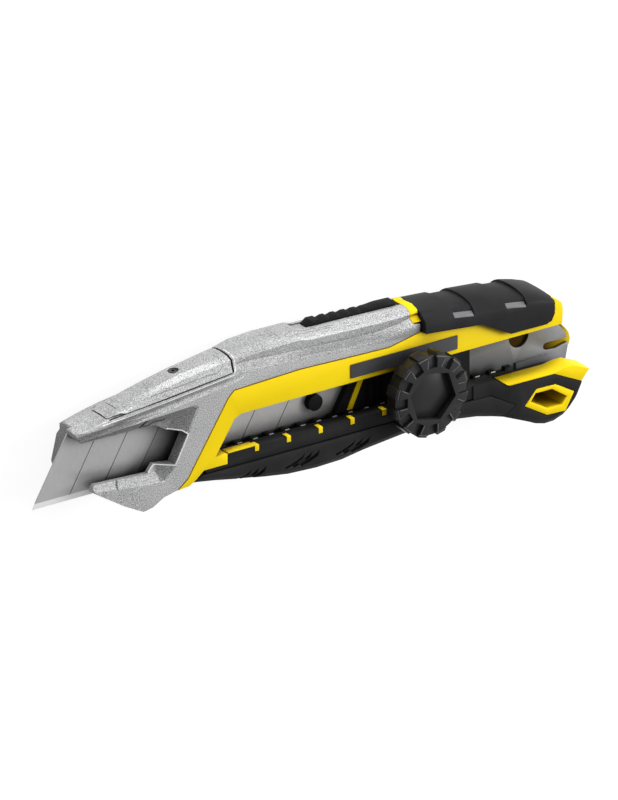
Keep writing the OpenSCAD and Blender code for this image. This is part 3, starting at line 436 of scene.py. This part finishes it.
def scribed(name, host, lines, width, toward, material, body="case"):
    """Thin flat strips on a CAD node, each through points in mm from the blade's tip.

    The points are cast onto the node against a direction, and the strip lies just over the face.
    """
    mesh = nodes[host].data
    tree = BVHTree.FromPolygons([v.co for v in mesh.vertices], [p.vertices for p in mesh.polygons])
    toward = Vector(toward).normalized()
    verts, faces = [], []
    for points in lines:
        path = []
        for a, b in zip(points, points[1:]):
            a, b = at(*a), at(*b)
            count = max(1, round((b - a).length / (STEP * MM)))
            path += [a.lerp(b, i / count) for i in range(count)]
        path.append(at(*points[-1]))
        hits = []
        for point in path:
            place, normal = tree.ray_cast(point + toward * CAST * MM, -toward)[:2]
            if place is not None:
                hits.append((place + normal * LIFT * MM, normal))
        for (p, n), (q, m) in zip(hits, hits[1:]):
            if (q - p).length < 1e-6 or (q - p).length > GAP * MM:
                continue
            side = (q - p).cross(n + m).normalized() * width * 0.5 * MM
            k = len(verts)
            verts += [p - side, p + side, q + side, q - side]
            faces.append((k, k + 1, k + 2, k + 3))
    flat_piece(name, verts, faces, material, body)


# colours for engraved and etched marks, also used for painted shade lines
engraved_and_shade = moulded("engraved_and_shade_line", (0.20, 0.20, 0.205), 0.6, spec=0.2)
etched_and_shadow = moulded("etched_and_shadow_line", (0.012, 0.012, 0.013), 0.6, spec=0.1)
scribed("slide_arrows", "die_cast_body", [
    [(87.5, 28.6, 3.2), (83.3, 28.9, 3.1), (80.4, 29.1, 2.9), (77.3, 29.4, 3.0), (75.4, 29.6, 3.1),
     (74.9, 29.9, 2.5), (72.6, 29.6, 3.4), (72.9, 29.2, 4.0), (75.1, 29.3, 4.0), (76.8, 29.2, 3.8),
     (80.1, 28.8, 3.5), (83.0, 28.6, 3.5), (86.5, 28.5, 3.6)],
    [(69.6, 29.8, -1.3), (70.5, 29.8, -1.4), (70.9, 29.4, 3.7), (69.9, 29.4, 3.8), (68.5, 29.8, 1.8),
     (69.6, 29.8, 1.9), (69.6, 29.8, -1.3)],
    [(65.2, 29.6, -0.5), (65.6, 29.6, 0.3), (65.2, 29.6, 0.9)],
    [(66.5, 29.7, -0.1), (67.3, 29.7, 0.3), (68.0, 29.8, 0.7)]],
    0.16, (0, 1, 0), engraved_and_shade)
scribed("jaw_arrow", "die_cast_body", [
    [(29.8, 16.5, 4.5), (31.5, 16.0, 4.3), (31.7, 16.4, 4.4), (32.2, 16.8, 4.6), (33.0, 17.1, 4.7),
     (34.7, 16.9, 4.8), (35.7, 16.8, 4.7), (36.1, 17.2, 4.9)]],
    0.42, (0, 0, 1), etched_and_shadow)

# painted highlights along the pocket's rim and the ledge's edge
rim = moulded("painted_rim_highlight", (0.85, 0.85, 0.86), 0.35, spec=0.4)
# painted shade in the seam between the casting and the yellow frame
shade = moulded("shaded_seam", (0.21, 0.11, 0.003), 0.6, spec=0.1)
scribed("casting_seam_shade", "near_frame", [
    [(39.0, -2.1, 6.4), (41.95, 0.15, 6.4), (53.9, 18.7, 6.4), (55.6, 20.3, 6.4), (75, 21.0, 6.4),
     (90.8, 20.5, 6.4), (101.5, 20.2, 6.4), (110.6, 22.0, 6.4)]],
    0.24, (0, 0, 1), shade)
scribed("pocket_rim_highlight", "die_cast_body", [
    [(37.1, 13.95, 5), (40.7, 13.1, 5), (42.1, 12.05, 5), (38.3, 4.65, 5), (33.1, 5.35, 5),
     (31.6, 3.6, 5)]],
    0.28, (0, 0, 1), rim)
scribed("ledge_rim_highlight", "die_cast_body", [
    [(17.5, 20.1, 5.25), (24, 20.8, 5.9), (36, 22.1, 6.15), (56, 24.3, 6.2), (56.8, 25.6, 5.4),
     (56.9, 27.4, 4.4), (56.9, 28.3, 2.4), (56.8, 28.6, 0)]],
    0.24, (0, 0.6, 0.8), rim)
# painted shadow: a black line under the snap lever's lower edge
scribed("ledge_shadow", "die_cast_body", [
    [(20.0, 21, 4.3), (24, 21.4, 4.5), (36, 22.6, 5.1), (55.4, 24.8, 5.4)]],
    0.42, (0, 1, 0), etched_and_shadow)
# painted shade: a dark line along the border of the lever's plateau
scribed("lever_ridge_shade", "snap_lever", [
    [(32.6, 23.5, 3.9), (40.6, 24.3, 4.3), (49.0, 25.2, 4.6), (51.8, 25.3, 4.8), (52.8, 25.9, 4.6),
     (53.3, 26.7, 4.5), (53.6, 27.5, 3.9), (53.9, 27.9, 3.0), (53.6, 28.1, 1.5), (53.0, 28.1, -0.2)]],
    0.2, (-0.1, 0.7, 0.7), engraved_and_shade, "lever")

# Painted highlights on the wheel: paler strips as arcs along the rim, and on one side of each pocket
low, high = [(c - TIP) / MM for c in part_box("wheel_knob")]
axis_x, axis_y = (low.x + high.x) / 2, (low.y + high.y) / 2
LUGS = 12
RIM_R = 10.3                # where the arcs lie
POCKET_IN, POCKET_OUT = 7.7, 9.9
ARC_STEP = 2.5              # degrees


def on_wheel(r, degrees):
    a = math.radians(degrees)
    return (axis_x + r * math.cos(a), axis_y + r * math.sin(a), high.z - 0.5)


turns = [360 / LUGS * k for k in range(LUGS)]
arcs = [[on_wheel(RIM_R, turn + 7.5 + ARC_STEP * i) for i in range(7)] for turn in turns]
sides = [[on_wheel(POCKET_IN, turn + 11), on_wheel(POCKET_OUT, turn + 8.4)] for turn in turns]
glint = moulded("painted_wheel_highlight", (0.10, 0.10, 0.105), 0.25, spec=0.5)
scribed("wheel_glints", "wheel_knob", arcs + sides, 0.17, (0, 0, 1), glint, "wheel")

# Painted highlights: pale strips on the tops of the rack's teeth, just over their front face (mm)
low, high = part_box("rack_strip")
RACK_PITCH = 4.7
RACK_START = 1.8
RACK_SHARE = 0.70           # where on a pitch the strip starts
GLINT_LENGTH = 1.25
GLINT_LOW, GLINT_HIGH = 0.34, 0.06      # how far its edges lie below the tooth's top
GLINT_LIFT = 0.012
verts, faces = [], []
for k in range(17):
    start = low[0] + (RACK_START + (k + RACK_SHARE) * RACK_PITCH) * MM
    end = start + GLINT_LENGTH * MM
    if end > high[0]:
        break
    n = len(verts)
    bottom, top = high[1] - GLINT_LOW * MM, high[1] - GLINT_HIGH * MM
    z = high[2] + GLINT_LIFT * MM
    verts += [(start, bottom, z), (end, bottom, z), (end, top, z), (start, top, z)]
    faces.append((n, n + 1, n + 2, n + 3))
tooth_highlight = moulded("painted_tooth_highlight", (0.50, 0.50, 0.51), 0.35, spec=0.4)
flat_piece("rack_glints", verts, faces, tooth_highlight, "case")

# ---------------------------------------------------------------- stage

FLOOR_REACH = 4             # metres
FLOOR_DROP = 0.0002
PAPER = 0.8                 # the floor's colour, as the object is lit by it
PAPER_GLOW = 0.90           # the floor as it is seen: a glow near white, and a share that takes shadow
PAPER_SHADOW = 0.17
SKY_LEVEL = 0.74            # the world's level at its brightest, over the spine
SKY_LEAN = (0.15, 0.9, 0.35)


def background_rays(tree):
    """1 for camera, glossy and transmission rays, which see the background as white."""
    path = tree.nodes.new("ShaderNodeLightPath")
    seen = path.outputs["Is Camera Ray"]
    for ray in ("Is Glossy Ray", "Is Transmission Ray"):
        either = tree.nodes.new("ShaderNodeMath")
        either.operation = "MAXIMUM"
        tree.links.new(seen, either.inputs[0])
        tree.links.new(path.outputs[ray], either.inputs[1])
        seen = either.outputs[0]
    return seen


floor_mesh = bpy.data.meshes.new("floor")
floor_mesh.from_pydata([(x * FLOOR_REACH, y * FLOOR_REACH, 0)
                        for x, y in ((-1, -1), (1, -1), (1, 1), (-1, 1))], [], [(0, 1, 2, 3)])
floor = bpy.data.objects.new("floor", floor_mesh)
scene.collection.objects.link(floor)
floor.location.z = -FLOOR_DROP

paper = bpy.data.materials.new("paper")
paper.use_nodes = True
tree = paper.node_tree
for n in list(tree.nodes):
    tree.nodes.remove(n)
out = tree.nodes.new("ShaderNodeOutputMaterial")
lit = tree.nodes.new("ShaderNodeBsdfDiffuse")
lit.inputs["Color"].default_value = grey(PAPER) + (1,)
white = tree.nodes.new("ShaderNodeEmission")
white.inputs["Color"].default_value = (1, 1, 1, 1)
white.inputs["Strength"].default_value = PAPER_GLOW
dim = tree.nodes.new("ShaderNodeBsdfDiffuse")
dim.inputs["Color"].default_value = grey(PAPER_SHADOW) + (1,)
shown = tree.nodes.new("ShaderNodeAddShader")
tree.links.new(white.outputs[0], shown.inputs[0])
tree.links.new(dim.outputs[0], shown.inputs[1])
pick = tree.nodes.new("ShaderNodeMixShader")
tree.links.new(background_rays(tree), pick.inputs[0])
tree.links.new(lit.outputs[0], pick.inputs[1])
tree.links.new(shown.outputs[0], pick.inputs[2])
tree.links.new(pick.outputs[0], out.inputs["Surface"])
floor_mesh.materials.append(paper)

world = bpy.data.worlds.new("studio")
scene.world = world
world.use_nodes = True
tree = world.node_tree
back = tree.nodes["Background"]
back.inputs["Color"].default_value = (1, 1, 1, 1)
sky = tree.nodes.new("ShaderNodeTexCoord")
lean = tree.nodes.new("ShaderNodeVectorMath")
lean.operation = "DOT_PRODUCT"
lean.inputs[1].default_value = Vector(SKY_LEAN).normalized()
tree.links.new(sky.outputs["Generated"], lean.inputs[0])
soft = tree.nodes.new("ShaderNodeMapRange")      # a big soft source over the spine
soft.inputs["From Min"].default_value = -1.0
soft.inputs["To Max"].default_value = SKY_LEVEL
tree.links.new(lean.outputs["Value"], soft.inputs["Value"])
level = tree.nodes.new("ShaderNodeMix")
level.data_type = "FLOAT"
level.inputs[3].default_value = 1.0
tree.links.new(background_rays(tree), level.inputs[0])
tree.links.new(soft.outputs["Result"], level.inputs[2])
tree.links.new(level.outputs[0], back.inputs["Strength"])

# Camera directions: towards the camera, to its right, and up
TOWARD = Vector((-0.521, 0.4035, 0.752)).normalized()
RIGHT = Vector((0.822, 0.0, 0.569)).normalized()
UP = TOWARD.cross(RIGHT).normalized()
RIGHT = UP.cross(TOWARD).normalized()
VIEW_SPAN = 195.1           # the view's longer side (mm)
VIEW_ACROSS = 67.56         # middle of the view from the blade's tip (mm)
VIEW_OVER = 26.88
CAMERA_AWAY = 1.2           # metres


def area(name, direction, distance, size, power):
    """A lamp at a distance (m) from the knife's middle, turned to it."""
    target = at(75, 8, 0)
    data = bpy.data.lights.new(name, "AREA")
    data.shape = "RECTANGLE"
    data.size, data.size_y = size
    data.energy = power
    obj = bpy.data.objects.new(name, data)
    scene.collection.objects.link(obj)
    obj.location = target + direction.normalized() * distance
    obj.rotation_euler = (target - obj.location).to_track_quat("-Z", "Y").to_euler()


area("key", Vector((0.15, 0.96, 0.17)), distance=0.7, size=(0.36, 0.12), power=2.9)
area("side", Vector((0.75, 0.15, 0.62)), distance=0.8, size=(0.35, 0.35), power=4.75)

cam_data = bpy.data.cameras.new("camera")
cam_data.type = "ORTHO"
cam_data.ortho_scale = VIEW_SPAN * MM
cam_data.clip_start = 0.05
cam_data.clip_end = 20
camera = bpy.data.objects.new("camera", cam_data)
scene.collection.objects.link(camera)
camera.location = TIP + (RIGHT * VIEW_ACROSS + UP * VIEW_OVER) * MM + TOWARD * CAMERA_AWAY
axes = (RIGHT, UP, TOWARD)
camera.rotation_euler = Matrix([[axis[i] for axis in axes] for i in range(3)]).to_euler()
scene.camera = camera

scene.view_settings.view_transform = "Standard"
